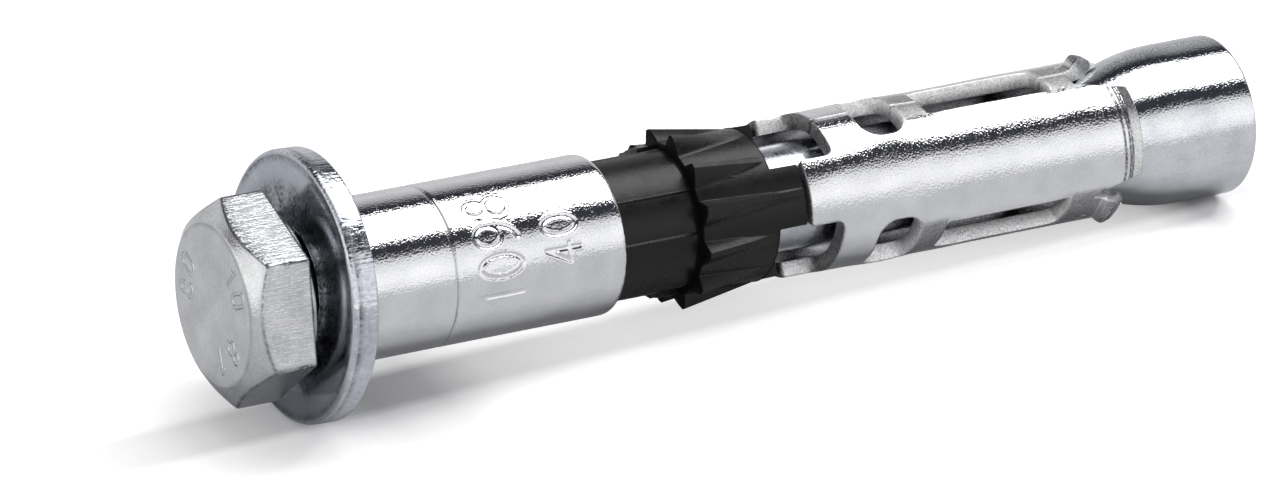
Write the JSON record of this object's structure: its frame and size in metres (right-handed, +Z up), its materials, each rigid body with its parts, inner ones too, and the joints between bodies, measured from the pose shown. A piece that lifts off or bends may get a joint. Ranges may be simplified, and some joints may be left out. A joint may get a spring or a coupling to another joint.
{
  "type": "sleeve anchor",
  "caption": "Zinc-plated steel sleeve anchor lying down: hexagon-head bolt, washer, spacer tube, ribbed plastic collar, slotted expansion sleeve and cone nut.",
  "frame": {"origin": "on the surface that the anchor lies on, under the middle of its box", "axes": "+X towards the cone nut, along the anchor but for its slight slope; +Z up"},
  "size_m": [0.1062, 0.0246, 0.0248],
  "materials": {
    "bolt_zinc": "bright zinc plating, satin with faint drawn lines",
    "washer_zinc": "bright zinc plating",
    "tube_zinc": "bright zinc plating, nearly mirror-like",
    "collar_plastic": "fine matt moulded grain",
    "sleeve_zinc": "bright zinc plating over sheared sheet",
    "cone_zinc": "bright zinc plating, turned"
  },
  "bodies": {
    "bolt": {"hex_bolt": "bolt_zinc"},
    "washer": {"washer": "washer_zinc"},
    "spacer": {"spacer_sleeve": "tube_zinc"},
    "sleeve": {"crush_collar": "collar_plastic", "expansion_sleeve": "sleeve_zinc"},
    "cone_nut": {"cone_nut": "cone_zinc"}
  },
  "joints": [
    {"name": "washer_float", "type": "slide", "parent": "bolt", "child": "washer", "axis": [-0.9989, 0, 0.0464], "range_m": [0, 0.0008]},
    {"name": "spacer_spin", "type": "hinge", "parent": "bolt", "child": "spacer", "pos_m": [-0.04235, 0, 0.01195], "axis": [0.9989, 0, -0.0464], "continuous": true},
    {"name": "sleeve_turn", "type": "hinge", "parent": "bolt", "child": "sleeve", "pos_m": [0.00435, 0, 0.00978], "axis": [0.9989, 0, -0.0464], "range_deg": [0, 2520]},
    {"name": "cone_travel", "type": "slide", "parent": "sleeve", "child": "cone_nut", "axis": [0.9989, 0, -0.0464], "range_m": [0, 0.0105]}
  ],
  "couplings": [
    {"joint": "cone_travel", "follows": "sleeve_turn", "m_per_rad": 0.00023873}
  ]
}
